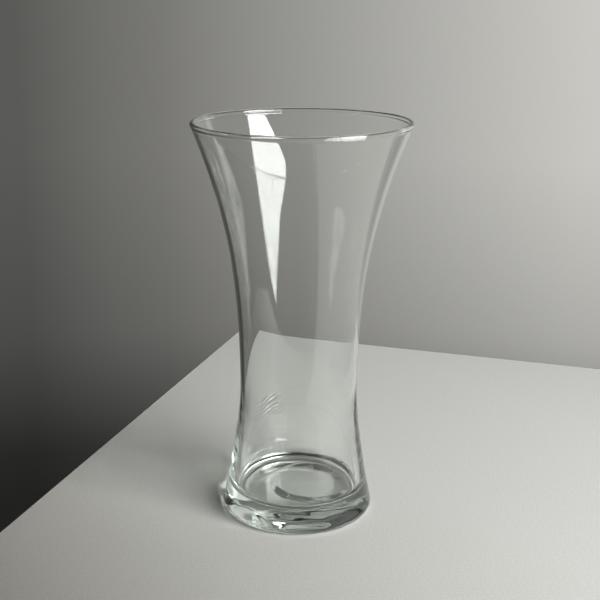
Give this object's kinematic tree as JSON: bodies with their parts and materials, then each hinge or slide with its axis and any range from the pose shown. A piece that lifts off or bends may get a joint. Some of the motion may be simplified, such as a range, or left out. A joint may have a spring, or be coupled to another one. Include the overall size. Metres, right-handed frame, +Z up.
{
  "type": "trumpet vase",
  "caption": "Tall clear glass flower vase with a trumpet mouth, a narrow waist, a spreading foot and a heavy solid base.",
  "frame": {"origin": "centre of the standing ring, on the surface that the vase stands on", "axes": "+Z up along the vase's axis, towards the mouth; +X towards the side where the floor's off-centre mound lies"},
  "size_m": [0.1604, 0.1604, 0.3],
  "materials": {
    "clear_glass": "clear fire-polished glass with a faint green tint"
  },
  "bodies": {
    "root": {"heavy_base": "clear_glass", "trumpet_wall": "clear_glass", "rim_bead": "clear_glass"}
  },
  "joints": []
}
